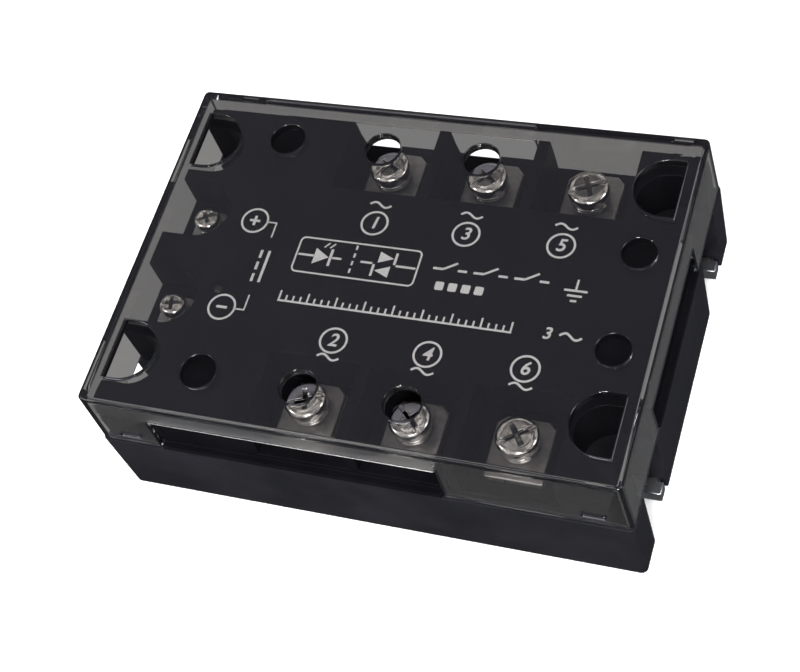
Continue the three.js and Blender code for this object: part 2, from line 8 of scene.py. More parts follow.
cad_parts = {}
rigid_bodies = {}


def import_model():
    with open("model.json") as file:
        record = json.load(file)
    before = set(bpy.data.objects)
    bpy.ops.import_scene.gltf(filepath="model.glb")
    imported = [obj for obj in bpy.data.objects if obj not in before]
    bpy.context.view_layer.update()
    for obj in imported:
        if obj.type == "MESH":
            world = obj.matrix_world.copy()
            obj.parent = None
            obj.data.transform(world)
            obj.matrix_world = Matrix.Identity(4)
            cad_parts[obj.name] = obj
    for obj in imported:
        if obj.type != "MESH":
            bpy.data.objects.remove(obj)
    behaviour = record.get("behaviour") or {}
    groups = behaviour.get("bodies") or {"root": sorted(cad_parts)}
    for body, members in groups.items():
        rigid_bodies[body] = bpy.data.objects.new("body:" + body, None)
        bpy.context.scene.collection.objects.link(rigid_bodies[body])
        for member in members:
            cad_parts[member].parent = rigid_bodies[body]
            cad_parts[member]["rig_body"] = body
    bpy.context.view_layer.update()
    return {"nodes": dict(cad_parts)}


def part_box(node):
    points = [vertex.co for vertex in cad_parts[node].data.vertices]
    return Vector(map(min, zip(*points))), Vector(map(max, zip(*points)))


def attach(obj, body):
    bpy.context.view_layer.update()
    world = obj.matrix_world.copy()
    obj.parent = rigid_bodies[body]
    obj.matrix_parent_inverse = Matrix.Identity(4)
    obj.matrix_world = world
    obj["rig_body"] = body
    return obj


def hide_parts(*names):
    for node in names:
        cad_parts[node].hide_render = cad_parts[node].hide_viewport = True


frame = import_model()

# ---- Sizes, in millimetres ---------------------------------------------------------------------

MM = 0.001
MERGE = 0.002  # vertices nearer than this are one
FLAT = math.radians(0.4)  # faces nearer than this in direction are one face

HOUSING_EDGE = 0.18
COVER_EDGE = 0.3
COVER_PLATE = 1.9  # thickness of the cover's top
COVER_WALL = 1.1  # thickness of its walls
PLATE_EDGE = 0.2
SMALL_EDGE = 0.12
TINY_EDGE = 0.06
CHIP_EDGE = 0.05
CLAMP_EDGE = 0.26
LEVEL_AREA = 60  # a face larger than this, in square millimetres, is shaded dead flat

LOAD_SCREW = {
    "head": 4.05, "height": 2.55, "side": 1.6, "crown": 2.5, "shank": 1.95, "root": 1.6,
    "pitch": 0.7, "length": 10.1, "slot": (0.9, 0.5), "cross": (4.9, 1.15, 1.6), "edge": 0.09,
}
INPUT_SCREW = {
    "head": 2.65, "height": 2.05, "side": 0.95, "crown": 0.9, "shank": 1.45, "root": 1.15,
    "pitch": 0.5, "length": 6.8, "slot": (0.75, 0.55), "cross": (3.3, 0.9, 1.4), "edge": 0.07,
}
LOAD_COIL = {"inner": 2.15, "outer": 3.8, "height": 2.1, "wire": 0.66, "turns": 1.97}
INPUT_COIL = {"inner": 1.6, "outer": 2.5, "height": 0.8, "wire": 0.33, "turns": 1.97}
LOAD_CLAMP = {"half_x": 5.6, "half_y": 5.7, "height": 1.0, "hole": 2.2, "cut": 1.6, "corner": 0.5}
INPUT_CLAMP = {"half_x": 3.1, "half_y": 3.2, "height": 0.8, "hole": 1.7, "cut": 0.7, "corner": 0.3}
DRIVE_TURN = {  # how each screw's slot lies, in radians from +X
    "load_screw_1": 1.05, "load_screw_2": 0.35, "load_screw_3": 0.9, "load_screw_4": -0.75,
    "load_screw_5": 0.45, "load_screw_6": 0.63, "input_screw_plus": 0.6, "input_screw_minus": 0.2,
}
HEAD_GAP = 0.05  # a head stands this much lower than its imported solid
ROUND = 48  # segments of a visible round piece
PRINT_HEIGHT = 0.03  # the printed marks' thickness
SHARP = math.radians(50)  # shading breaks at an edge sharper than this


def box_mm(node):
    low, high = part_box(node)
    return low / MM, high / MM


def centre_mm(node):
    low, high = box_mm(node)
    return (low + high) / 2


# ---- Mesh tools --------------------------------------------------------------------------------

def as_object(name, bm):
    bmesh.ops.recalc_face_normals(bm, faces=bm.faces)
    mesh = bpy.data.meshes.new(name)
    bm.to_mesh(mesh)
    bm.free()
    made = bpy.data.objects.new(name, mesh)
    bpy.context.scene.collection.objects.link(made)
    return made


def prism(outline, bottom, top, shrink=1.0):
    """A closed prism on an outline; shrink scales its lower end."""
    bm = bmesh.new()
    lower = [bm.verts.new((x * shrink, y * shrink, bottom)) for x, y in outline]
    upper = [bm.verts.new((x, y, top)) for x, y in outline]
    count = len(outline)
    for k in range(count):
        following = (k + 1) % count
        bm.faces.new((lower[k], lower[following], upper[following], upper[k]))
    bm.faces.new(lower[::-1])
    bm.faces.new(upper)
    return bm


def bar(half_x, half_y, bottom, top, shrink=1.0):
    corners = [(-half_x, -half_y), (half_x, -half_y), (half_x, half_y), (-half_x, half_y)]
    return prism(corners, bottom, top, shrink)


def arc(x, y, radius, start, end, steps):
    return [
        (x + radius * math.cos(start + (end - start) * k / steps),
         y + radius * math.sin(start + (end - start) * k / steps))
        for k in range(steps + 1)
    ]


def circle(x, y, radius, steps=ROUND):
    return arc(x, y, radius, 0, 2 * math.pi, steps)[:-1]


def rounded(corners, radius, steps=5):
    """A convex outline, listed anticlockwise, with its corners rounded off."""
    outline = []
    count = len(corners)
    for k in range(count):
        here = Vector(corners[k])
        back = (Vector(corners[k - 1]) - here).normalized()
        ahead = (Vector(corners[(k + 1) % count]) - here).normalized()
        half = back.angle(ahead) / 2
        centre = here + (back + ahead).normalized() * radius / math.sin(half)
        start = math.atan2(-back.x, back.y) + math.pi
        sweep = math.pi - 2 * half
        outline += arc(centre.x, centre.y, radius, start, start + sweep, steps)
    return outline


def turned(rows, count=ROUND):
    """A closed round skin from rows of (z, radius); a radius may be a function of the angle."""
    bm = bmesh.new()
    rings = []
    for z, radius in rows:
        ring = []
        for k in range(count):
            angle = 2 * math.pi * k / count
            r = radius(angle) if callable(radius) else radius
            ring.append(bm.verts.new((r * math.cos(angle), r * math.sin(angle), z)))
        rings.append(ring)
    for lower, upper in zip(rings, rings[1:]):
        for k in range(count):
            following = (k + 1) % count
            bm.faces.new((lower[k], lower[following], upper[following], upper[k]))
    bm.faces.new(rings[0][::-1])
    bm.faces.new(rings[-1])
    return bm


def evaluated_mesh(made):
    graph = bpy.context.evaluated_depsgraph_get()
    return bpy.data.meshes.new_from_object(made.evaluated_get(graph))


def carve(bm, tools, operation="DIFFERENCE"):
    """bm with each tool, also a bmesh, taken away from it or joined to it."""
    base = as_object("blank", bm)
    cutters = [as_object("tool", tool) for tool in tools]
    for cutter in cutters:
        modifier = base.modifiers.new("carve", "BOOLEAN")
        modifier.operation = operation
        modifier.solver = "EXACT"
        modifier.object = cutter
    result = bmesh.new()
    mesh = evaluated_mesh(base)
    result.from_mesh(mesh)
    bpy.data.meshes.remove(mesh)
    for made in [base, *cutters]:
        spent = made.data
        bpy.data.objects.remove(made)
        bpy.data.meshes.remove(spent)
    return result


def shifted(bm, x=0.0, y=0.0, z=0.0, turn=0.0):
    matrix = Matrix.Translation((x, y, z)) @ Matrix.Rotation(turn, 4, "Z")
    bmesh.ops.transform(bm, matrix=matrix, verts=bm.verts)
    return bm


def merged(pieces):
    """One bmesh that holds every given one side by side."""
    whole = bmesh.new()
    for bm in pieces:
        mesh = bpy.data.meshes.new("part")
        bm.to_mesh(mesh)
        bm.free()
        whole.from_mesh(mesh)
        bpy.data.meshes.remove(mesh)
    return whole


def soften(bm, width, angle=28, segments=2, keep=lambda edge: True):
    """Joins flat neighbours into one face and rounds every edge sharper than the angle."""
    bmesh.ops.remove_doubles(bm, verts=bm.verts, dist=MERGE)
    bmesh.ops.dissolve_limit(bm, angle_limit=FLAT, verts=bm.verts, edges=bm.edges)
    sharp = [
        edge for edge in bm.edges
        if len(edge.link_faces) == 2 and edge.calc_face_angle() > math.radians(angle) and keep(edge)
    ]
    bmesh.ops.bevel(
        bm, geom=sharp, offset=width, offset_type="OFFSET", segments=segments, profile=0.5,
        affect="EDGES", clamp_overlap=False, material=-1,
    )
    return bm


def shade(made):
    made.data.shade_smooth()
    made.data.set_sharp_from_angle(angle=SHARP)
    for face in made.data.polygons:
        if face.area > LEVEL_AREA * MM * MM:
            face.use_smooth = False
    weighted = made.modifiers.new("weighted", "WEIGHTED_NORMAL")
    weighted.keep_sharp = True


def dress(made, material, node=None, body=None):
    """Gives a new piece its finish and its body, and hides the CAD node that it stands for."""
    made.data.materials.clear()
    made.data.materials.append(material)
    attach(made, body or frame["nodes"][node]["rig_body"])
    if node:
        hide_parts(node)
    return made


def refill(bm, height):
    """Fills the flat face at a height afresh between its outline and its holes."""
    level = {
        face for face in bm.faces
        if abs(face.normal.z) > 0.9999 and abs(face.calc_center_median().z - height) < MERGE
    }
    shared = {edge: sum(face in level for face in edge.link_faces) for edge in bm.edges}
    rim = [edge for edge, count in shared.items() if count == 1]
    inner = [edge for edge, count in shared.items() if count == 2]
    bmesh.ops.delete(bm, geom=list(level), context="FACES_ONLY")
    bmesh.ops.delete(bm, geom=inner, context="EDGES")
    bmesh.ops.triangle_fill(bm, edges=rim, use_beauty=True)


def piece(node, bm, material, slot, x=0.0, y=0.0, z=0.0, turn=0.0):
    """A piece modelled in millimetres about its own axis, put in its CAD node's place."""
    shifted(bm, x, y, z, turn)
    bmesh.ops.scale(bm, vec=(MM, MM, MM), verts=bm.verts)
    made = as_object(f"{node}_fine", bm)
    shade(made)
    return dress(made, material, node)


def refined(node, edge, material, slot, extra=None, levels=()):
    """The CAD node's own shape with its flat faces whole, its edges rounded and smooth normals."""
    bm = bmesh.new()
    bm.from_mesh(frame["nodes"][node].data)
    bmesh.ops.scale(bm, vec=(1 / MM,) * 3, verts=bm.verts)
    bmesh.ops.remove_doubles(bm, verts=bm.verts, dist=MERGE)
    if extra:
        bm = extra(bm)
    soften(bm, edge)
    for height in levels:
        refill(bm, height)
    return piece(node, bm, material, slot)


# ---- Screws, washers and clamps ------------------------------------------------------------------

def thread_radius(size, z, ends):
    """Radius at a height of a screw's thread, as a function of the angle."""
    depth = size["shank"] - size["root"]
    fade = min(1.0, (z - ends[0]) / size["pitch"], (ends[1] - z) / size["pitch"])

    def radius(angle):
        turn = (z / size["pitch"] - angle / (2 * math.pi)) % 1.0
        ridge = max(0.0, 1 - abs(2 * turn - 1) * 1.15)
        return size["root"] + depth * max(0.0, fade) * min(1.0, ridge * 1.15)

    return radius


def screw_mesh(size):
    """A pan head screw with a slot and a cross recess; the head's underside is at z = 0."""
    head, height, side, crown = size["head"], size["height"], size["side"], size["crown"]
    ends = (-size["length"] + 0.35, -0.55)
    steps = round((ends[1] - ends[0]) / (size["pitch"] / 6))
    rows = [(-size["length"], size["root"] - 0.35), (ends[0], size["root"])]
    for k in range(1, steps):
        z = ends[0] + (ends[1] - ends[0]) * k / steps
        rows.append((z, thread_radius(size, z, ends)))
    neck, rim = 0.2, 0.22
    rows += [(ends[1], size["root"]), (-neck, size["root"]), (0.0, size["root"] + neck)]
    rows += [(0.0, head - rim), (0.06, head - 0.08), (rim, head), (side, head)]
    arc_steps = 9
    for k in range(1, arc_steps + 1):
        angle = math.pi / 2 * k / arc_steps
        rows.append((side + (height - side) * math.sin(angle), crown + (head - crown) * math.cos(angle)))
    slot_width, slot_depth = size["slot"]
    cross_length, cross_width, cross_depth = size["cross"]
    over = 0.6
    tools = [bar(head + 1, slot_width / 2, height - slot_depth, height + over)]
    lift = cross_depth + over
    flare = cross_length / 2 * (1 + 0.45 * over / cross_depth)
    for turn in (0, math.pi / 2):
        wing = bar(flare, cross_width / 2, height - cross_depth, height + over, shrink=0.5)
        tools.append(shifted(wing, turn=turn))
    tools.append(prism(circle(0, 0, cross_width * 0.8, 16), height - lift * 0.8, height + over, 0.3))
    bm = carve(turned(rows), tools)
    drive_from = side * 0.6  # only edges above this are rounded
    soften(
        bm, size["edge"], angle=33,
        keep=lambda edge: min(vert.co.z for vert in edge.verts) > drive_from,
    )
    for vert in bm.verts:  # a rounded edge never stands proud of the crowned head
        if vert.co.z > drive_from:
            reach = min(1.0, head / max(vert.co.xy.length, MERGE))
            vert.co.xy *= reach
            out = max(0.0, vert.co.xy.length - crown) / (head - crown)
            vert.co.z = min(vert.co.z, side + (height - side) * math.sqrt(max(0.0, 1 - out * out)))
    return bm


def coil_mesh(size):
    """A coiled spring washer of flat wire with rounded edges, from z = 0 up."""
    turns, per_turn = size["turns"], 44
    wide = (size["outer"] - size["inner"]) / 2
    thick = size["wire"] / 2
    corner = thick * 0.92
    square = [(-wide, -thick), (wide, -thick), (wide, thick), (-wide, thick)]
    section = rounded(square, corner, 3)
    middle = (size["inner"] + size["outer"]) / 2
    bm = bmesh.new()
    rings = []
    steps = round(turns * per_turn)
    for k in range(steps + 1):
        angle = 2 * math.pi * turns * k / steps
        z = thick + (size["height"] - size["wire"]) * k / steps
        rings.append([
            bm.verts.new(((middle + u) * math.cos(angle), (middle + u) * math.sin(angle), z + v))
            for u, v in section
        ])
    count = len(section)
    for near, far in zip(rings, rings[1:]):
        for k in range(count):
            following = (k + 1) % count
            bm.faces.new((near[k], near[following], far[following], far[k]))
    bm.faces.new(rings[0][::-1])
    bm.faces.new(rings[-1])
    return bm


def clamp_mesh(size, hole):
    """A stamped square plate with two cut corners at +Y and a hole through it, from z = 0 up."""
    half_x, half_y, cut = size["half_x"], size["half_y"], size["cut"]
    corners = [
        (-half_x, -half_y), (half_x, -half_y), (half_x, half_y - cut), (half_x - cut, half_y),
        (-half_x + cut, half_y), (-half_x, half_y - cut),
    ]
    plate = prism(rounded(corners, size["corner"], 5), 0, size["height"])
    bore = prism(circle(*hole, size["hole"]), -1, size["height"] + 1)
    return soften(carve(plate, [bore]), CLAMP_EDGE, angle=33, segments=3)


def add_screw_stack(kind, label, sizes, finishes, clamp_turn):
    screw_node = f"{kind}_screw_{label}"
    clamp_node = f"{kind}_clamp_{label}"
    coil_node = f"{kind}_spring_washer_{label}"
    screw_size, coil_size, clamp_size = sizes
    axis = centre_mm(screw_node)
    head_top = box_mm(screw_node)[1].z
    steel, plate_steel = finishes
    piece(
        screw_node, screw_mesh(screw_size), steel, "screw_steel",
        axis.x, axis.y, head_top - HEAD_GAP - screw_size["height"], DRIVE_TURN[screw_node],
    )
    piece(
        coil_node, coil_mesh(coil_size), steel, "screw_steel",
        axis.x, axis.y, box_mm(coil_node)[0].z, 2.4,
    )
    middle = centre_mm(clamp_node)
    hole = Matrix.Rotation(-clamp_turn, 2) @ (axis - middle).xy
    piece(
        clamp_node, clamp_mesh(clamp_size, hole), plate_steel, "clamp_steel",
        middle.x, middle.y, box_mm(clamp_node)[0].z, clamp_turn,
    )


# ---- Electronics ---------------------------------------------------------------------------------

def led_mesh():
    """A round-nosed lens on a flange with two square leads."""
    low, high = box_mm("status_led")
    lens, flange, seat = 1.4, 1.75, 18.0
    dome = [
        (high.z - lens + lens * math.sin(a), max(0.12, lens * math.cos(a)))
        for a in [math.pi / 2 * k / 8 for k in range(9)]
    ]
    body = turned([(seat, flange), (seat + 1.0, flange), (seat + 1.0, lens), *dome], 32)
    lead = 0.25
    spacing = 1.27
    leads = [shifted(bar(lead, lead, low.z, seat + 0.3), y=side * spacing) for side in (-1, 1)]
    return carve(body, leads, "UNION")


def resistor_mesh(low, high):
    """A power resistor's round body with swollen ends and two bent leads."""
    radius = (high.y - low.y) / 2
    half = (high.x - low.x) / 2
    body_half = half - 0.9
    rows = []
    steps = 28
    for k in range(steps + 1):
        x = -body_half + 2 * body_half * k / steps
        end = abs(x) / body_half
        waist = 0.84 + 0.16 * min(1.0, max(0.0, (end - 0.5) / 0.18))
        nose = math.sqrt(max(0.02, 1 - max(0.0, (end - 0.84) / 0.16) ** 2))
        rows.append((x, radius * waist * nose))
    body = turned(rows, 32)
    bmesh.ops.rotate(body, matrix=Matrix.Rotation(math.pi / 2, 3, "Y"), verts=body.verts)
    wire = 0.3
    arm = [shifted(bar(0.7, wire, -wire, wire), x=side * (half - 0.7)) for side in (-1, 1)]
    foot = [shifted(bar(wire, wire, -radius, wire), x=side * (half - wire)) for side in (-1, 1)]
    return soften(carve(body, [*arm, *foot], "UNION"), 0.08, angle=50)


def capacitor_mesh(low, high):
    """A boxed film capacitor that stands on two feet."""
    half_x, half_y = (high.x - low.x) / 2, (high.y - low.y) / 2
    square = [(-half_x, -half_y), (half_x, -half_y), (half_x, half_y), (-half_x, half_y)]
    body = prism(rounded(square, 0.7, 5), 0.5, high.z - low.z)
    feet = [shifted(bar(0.8, half_y - 0.5, 0, 1.0), x=side * (half_x - 1.6)) for side in (-1, 1)]
    return soften(carve(body, feet, "UNION"), 0.3, angle=40, segments=3)


def optocoupler_dimple(bm, node):
    """The pin-one mark, sunk into the package's top."""
    low, high = box_mm(node)
    dimple = prism(circle(0, 0, 0.5, 24), high.z - 0.2, high.z + 1)
    return carve(bm, [shifted(dimple, low.x + 1.1, low.y + 1.6)])


# ---- Printed marks ---------------------------------------------------------------------------------

def ribbon(points, width, closed=False):
    """A flat printed line through the points, with mitred corners."""
    path = [Vector(point) for point in points]
    count = len(path)
    bm = bmesh.new()
    left, right = [], []
    for k, here in enumerate(path):
        before = path[k - 1] if closed or k > 0 else here
        after = path[(k + 1) % count] if closed or k < count - 1 else here
        arrive, leave = here - before, after - here
        arrive = arrive.normalized() if arrive.length else leave.normalized()
        leave = leave.normalized() if leave.length else arrive
        along = (arrive + leave).normalized()
        side = Vector((-along.y, along.x)) * width / 2 / max(0.4, along.dot(leave))
        left.append(here + side)
        right.append(here - side)
    rails = [
        [bm.verts.new((point.x, point.y, z)) for point in rail]
        for rail in (left, right) for z in (0, PRINT_HEIGHT)
    ]
    left_low, left_high, right_low, right_high = rails
    for k in range(count if closed else count - 1):
        n = (k + 1) % count
        bm.faces.new((left_high[k], right_high[k], right_high[n], left_high[n]))
        bm.faces.new((left_low[k], left_low[n], right_low[n], right_low[k]))
        bm.faces.new((left_low[k], left_high[k], left_high[n], left_low[n]))
        bm.faces.new((right_low[k], right_low[n], right_high[n], right_high[k]))
    if not closed:
        bm.faces.new((left_low[0], right_low[0], right_high[0], left_high[0]))
        bm.faces.new((left_low[-1], left_high[-1], right_high[-1], right_low[-1]))
    return bm


def ring(x, y, radius, width):
    return ribbon(circle(x, y, radius), width, closed=True)


def filled(corners):
    return prism(corners, 0, PRINT_HEIGHT)


def wave(x, y, length, height, width):
    steps = 24
    points = [
        (x + length * (k / steps - 0.5), y + height / 2 * math.sin(2 * math.pi * k / steps))
        for k in range(steps + 1)
    ]
    return ribbon(points, width)


def numeral(text, x, y, size):
    """A slanted number from the built-in font, as a thin solid."""
    curve = bpy.data.curves.new("numeral", "FONT")
    curve.body = text
    curve.size = size
    curve.align_x = "CENTER"
    curve.align_y = "CENTER"
    curve.extrude = PRINT_HEIGHT / 2
    curve.shear = 0.15
    curve.offset = 0.06
    made = bpy.data.objects.new("numeral", curve)
    bpy.context.scene.collection.objects.link(made)
    mesh = evaluated_mesh(made)
    bm = bmesh.new()
    bm.from_mesh(mesh)
    bmesh.ops.remove_doubles(bm, verts=bm.verts, dist=1e-4)
    bpy.data.objects.remove(made)
    bpy.data.curves.remove(curve)
    bpy.data.meshes.remove(mesh)
    return shifted(bm, x, y, PRINT_HEIGHT / 2)


def terminal_marks():
    """A ringed numeral and a wave beside every load terminal."""
    marks = []
    ring_radius, line = 2.6, 0.42
    inward = {1: 15.3, -1: 12.0}  # from a back or front screw to its numeral
    outward = {1: 4.3, -1: 3.6}  # from the numeral back out to its wave
    nudge = {1: 2.3, 2: 0.6, 3: -1.1}  # how far a phase's marks stand to +X of its screws
    for n in range(1, 7):
        axis = centre_mm(f"load_screw_{n}")
        side = 1 if axis.y > 0 else -1
        x = axis.x + nudge[(n + 1) // 2]
        y = axis.y - side * inward[side]
        marks.append(ring(x, y, ring_radius, line))
        marks.append(numeral(str(n), x, y, 3.8))
        marks.append(wave(x, y + side * outward[side], 4.4, 1.1, line))
    return marks


def input_marks():
    """Ringed plus and minus signs joined by a bracket round a direct-current sign."""
    x, line, arm = -32.5, 0.42, 1.1
    plus_y, minus_y, radius = 8.9, -11.2, 2.7
    marks = [ring(x, y, radius, line) for y in (plus_y, minus_y)]
    marks += [ribbon([(x - arm, y), (x + arm, y)], 0.55) for y in (plus_y, minus_y)]
    marks.append(ribbon([(x, plus_y - arm), (x, plus_y - 0.28)], 0.55))
    marks.append(ribbon([(x, plus_y + 0.28), (x, plus_y + arm)], 0.55))
    reach, spine, gap = x + radius, -27.8, 3.4
    marks.append(ribbon([(reach, plus_y), (spine, plus_y), (spine, plus_y - gap)], 0.3))
    marks.append(ribbon([(reach, minus_y), (spine, minus_y), (spine, minus_y + gap)], 0.3))
    middle = (plus_y + minus_y) / 2
    marks.append(ribbon([(spine + 0.8, middle - 3.6), (spine + 0.8, middle + 3.6)], 0.55))
    for k in (-1, 0, 1):
        start = middle + 2.7 * k
        marks.append(ribbon([(spine - 0.8, start - 0.9), (spine - 0.8, start + 0.9)], 0.55))
    return marks


def diagram_marks():
    """A circuit diagram of the relay: a lamp, a dashed barrier and a pair of opposed thyristors."""
    left, right, low, high = -21.4, 3.6, -1.2, 6.6
    frame_line = rounded([(left, low), (right, low), (right, high), (left, high)], 1.0)
    middle = (low + high) / 2
    marks = [ribbon(frame_line, 0.35, closed=True)]
    lamp = -16.0
    marks.append(filled([(lamp - 1.7, middle - 1.8), (lamp + 1.3, middle), (lamp - 1.7, middle + 1.8)]))
    marks.append(ribbon([(lamp + 1.7, middle - 1.9), (lamp + 1.7, middle + 1.9)], 0.55))
    marks.append(ribbon([(left + 0.4, middle), (lamp - 1.8, middle)], 0.45))
    marks.append(ribbon([(lamp + 2.1, middle), (lamp + 4.0, middle)], 0.45))
    for k in (0, 1):
        x, y = lamp - 0.2 + 1.2 * k, middle + 2.1
        marks.append(ribbon([(x, y), (x + 0.9, y + 1.1)], 0.3))
    for k in range(4):
        y = low + 1.1 + 1.75 * k
        marks.append(ribbon([(-9.6, y), (-9.6, y + 0.95)], 0.4))
    pair = -3.2
    for side in (-1, 1):
        y = middle + side * 1.5
        tip, tail = pair + side * 1.6, pair - side * 1.4
        marks.append(filled([(tail, y - side * 1.25), (tip, y), (tail, y + side * 1.25)]))
        marks.append(ribbon([(pair + side * 2.0, y - 1.3), (pair + side * 2.0, y + 1.3)], 0.5))
    marks.append(ribbon([(-8.0, middle), (pair - 2.4, middle)], 0.45))
    marks.append(ribbon([(pair + 2.4, middle), (right - 0.4, middle)], 0.45))
    return marks


def contact_marks():
    """Three open contacts in a row, an earth sign, and a scale of ticks along the front."""
    marks = []
    for k in range(3):
        x = 6.6 + 8.0 * k
        marks.append(ribbon([(x, 3.4), (x + 2.0, 3.4)], 0.5))
        marks.append(ribbon([(x + 2.0, 3.4), (x + 4.5, 5.0)], 0.45))
        marks.append(ribbon([(x + 4.9, 3.4), (x + 6.7, 3.4)], 0.5))
    for k in range(4):
        x = 8.0 + 2.6 * k
        marks.append(filled(rounded([(x, -1.2), (x + 1.7, -1.2), (x + 1.7, 0.6), (x, 0.6)], 0.3)))
    x, y = 34.6, 2.4
    marks.append(ribbon([(x, y + 2.4), (x, y + 0.25)], 0.4))
    for k, half in enumerate((2.2, 1.4, 0.6)):
        marks.append(ribbon([(x - half, y - 1.1 * k), (x + half, y - 1.1 * k)], 0.45))
    start, pitch, ticks = -21.6, 1.45, 33
    marks.append(ribbon([(start - 0.2, -8.0), (start + pitch * (ticks - 1) + 0.2, -8.0)], 0.4))
    for k in range(ticks):
        tall = 2.0 if k % 4 == 0 else 1.1
        marks.append(ribbon([(start + pitch * k, -7.8), (start + pitch * k, -7.8 + tall)], 0.36))
    marks.append(numeral("3", 31.6, -7.2, 3.4))
    marks.append(wave(36.0, -7.2, 4.2, 1.2, 0.45))
    return marks


def add_marks(ink):
    top = box_mm("housing")[1].z
    bm = merged(terminal_marks() + input_marks() + diagram_marks() + contact_marks())
    bmesh.ops.translate(bm, vec=(0, 0, top), verts=bm.verts)
    bmesh.ops.scale(bm, vec=(MM, MM, MM), verts=bm.verts)
    made = as_object("housing_printed_marks", bm)
    dress(made, ink, body="case")


# ---- Finishes --------------------------------------------------------------------------------------

def node(tree, kind, inputs=None, **settings):
    """A shader node; an input that is another node's output is linked, and any other is set."""
    made = tree.nodes.new(kind)
    for key, value in settings.items():
        setattr(made, key, value)
    for key, value in (inputs or {}).items():
        socket = made.inputs[key]
        if isinstance(value, bpy.types.NodeSocket):
            tree.links.new(value, socket)
        else:
            socket.default_value = value
    return made


def blank_finish(name):
    made = bpy.data.materials.new(name)
    made.use_nodes = True
    made.node_tree.nodes.clear()
    return made, made.node_tree


def place(tree, stretch=(1.0, 1.0, 1.0), turn=0.0):
    """Object coordinates in millimetres, stretched along the axes."""
    coordinates = node(tree, "ShaderNodeTexCoord").outputs["Object"]
    scale = [value / MM for value in stretch]
    mapping = node(tree, "ShaderNodeMapping", {"Vector": coordinates, "Scale": scale})
    mapping.inputs["Rotation"].default_value = (0, 0, turn)
    return mapping.outputs["Vector"]


def noise(tree, where, scale, detail):
    made = node(tree, "ShaderNodeTexNoise", {
        "Vector": where, "Scale": scale, "Detail": detail, "Roughness": 0.55,
    })
    return made.outputs["Fac"]


def span(tree, value, low, high, to_low=0.0, to_high=1.0):
    made = node(tree, "ShaderNodeMapRange", {
        "Value": value, "From Min": low, "From Max": high, "To Min": to_low, "To Max": to_high,
    })
    return made.outputs["Result"]


def scaled(colour, factor):
    return tuple(factor * value for value in colour)


def blend_colour(tree, factor, first, second):
    made = node(tree, "ShaderNodeMix", data_type="RGBA")
    for socket, value in ((made.inputs[0], factor), (made.inputs[6], first), (made.inputs[7], second)):
        if isinstance(value, bpy.types.NodeSocket):
            tree.links.new(value, socket)
        else:
            socket.default_value = (*value, 1.0) if isinstance(value, tuple) else value
    return made.outputs[2]


def blend_value(tree, factor, first, second):
    return node(tree, "ShaderNodeMix", {0: factor, 2: first, 3: second}).outputs[0]


def chosen(tree, factor, usual, other):
    return node(tree, "ShaderNodeMixShader", {0: factor, 1: usual, 2: other}).outputs[0]


def maths(tree, operation, first, second=0.0, third=0.0):
    return node(tree, "ShaderNodeMath", {0: first, 1: second, 2: third}, operation=operation).outputs[0]


def axes(tree, vector):
    """The three parts of a vector."""
    parts = node(tree, "ShaderNodeSeparateXYZ", {"Vector": vector}).outputs
    return parts["X"], parts["Y"], parts["Z"]


def bump(tree, height, depth_mm, normal=None):
    inputs = {"Height": height, "Strength": 1.0, "Distance": depth_mm * MM}
    if normal:
        inputs["Normal"] = normal
    return node(tree, "ShaderNodeBump", inputs).outputs["Normal"]


def surface(tree, inputs):
    """Ends a finish with one principled shader."""
    shader = node(tree, "ShaderNodeBsdfPrincipled", inputs).outputs["BSDF"]
    node(tree, "ShaderNodeOutputMaterial", {"Surface": shader})


def moulded(name, dark, light, roughness, specular, below_factor, cover_foot):
    """Moulded plastic: cloudy colour, a fine spark-eroded grain and faint flow marks. Below a
    height, the cover's foot, it is paler and shinier."""
    made, tree = blank_finish(name)
    where = place(tree)
    cloud = noise(tree, where, 0.09, 4)
    mottle = span(tree, cloud, 0.35, 0.68)
    upper_colour = blend_colour(tree, mottle, dark, light)
    # the colour below the cover's foot: the same cloudy colour, paler by a given factor
    lower_colour = blend_colour(tree, mottle, scaled(dark, below_factor), scaled(light, below_factor))
    above_foot = maths(tree, "GREATER_THAN", axes(tree, where)[2], cover_foot)
    colour = blend_colour(tree, above_foot, lower_colour, upper_colour)
    gloss = span(tree, above_foot, 0, 1, specular, specular * 0.3)
    shine = span(tree, cloud, 0.3, 0.7, roughness - 0.05, roughness + 0.06)
    grain_depth, flow_depth = 0.012, 0.02
    grain = bump(tree, noise(tree, where, 3.2, 2), grain_depth)
    flow = noise(tree, place(tree, (0.02, 0.35, 0.35), 0.3), 1.0, 3)
    surface(tree, {
        "Base Color": colour, "Roughness": shine, "Specular IOR Level": gloss,
        "Normal": bump(tree, flow, flow_depth, grain),
    })
    return made


def plated(name, dark, light, roughness, brush, depth=0.004):
    """Plated metal: drawn lines, smudges that dull it, small tarnish spots, and painted shade in its
    recesses, grooves and under its heads.
    """
    made, tree = blank_finish(name)
    where = place(tree)
    tarnish, recess_shade, recess_mm = 0.55, 0.14, 1.3
    smudge = noise(tree, where, 0.55, 4)
    spots = noise(tree, where, 2.4, 3)
    lines = noise(tree, place(tree, brush), 2.2, 2)
    colour = blend_colour(tree, span(tree, smudge, 0.35, 0.7), light, dark)
    colour = blend_colour(tree, span(tree, spots, 0.66, 0.74), colour, scaled(dark, tarnish))
    # painted shade: the colour darkens to a dim copy of the metal wherever ambient occlusion finds
    # surfaces close by
    sky = node(
        tree, "ShaderNodeAmbientOcclusion", {"Distance": recess_mm * MM}, samples=6, only_local=True,
    )
    open_sky = span(tree, sky.outputs["AO"], 0.3, 0.85)
    colour = blend_colour(tree, open_sky, scaled(dark, recess_shade), colour)
    shine = span(tree, smudge, 0.3, 0.75, roughness - 0.06, roughness + 0.14)
    surface(tree, {
        "Base Color": colour, "Metallic": 1.0, "Roughness": shine, "Normal": bump(tree, lines, depth),
    })
    return made


def within(tree, value, low, high):
    """1 where the value lies between the two limits, else 0."""
    return maths(tree, "COMPARE", value, (low + high) / 2, (high - low) / 2)


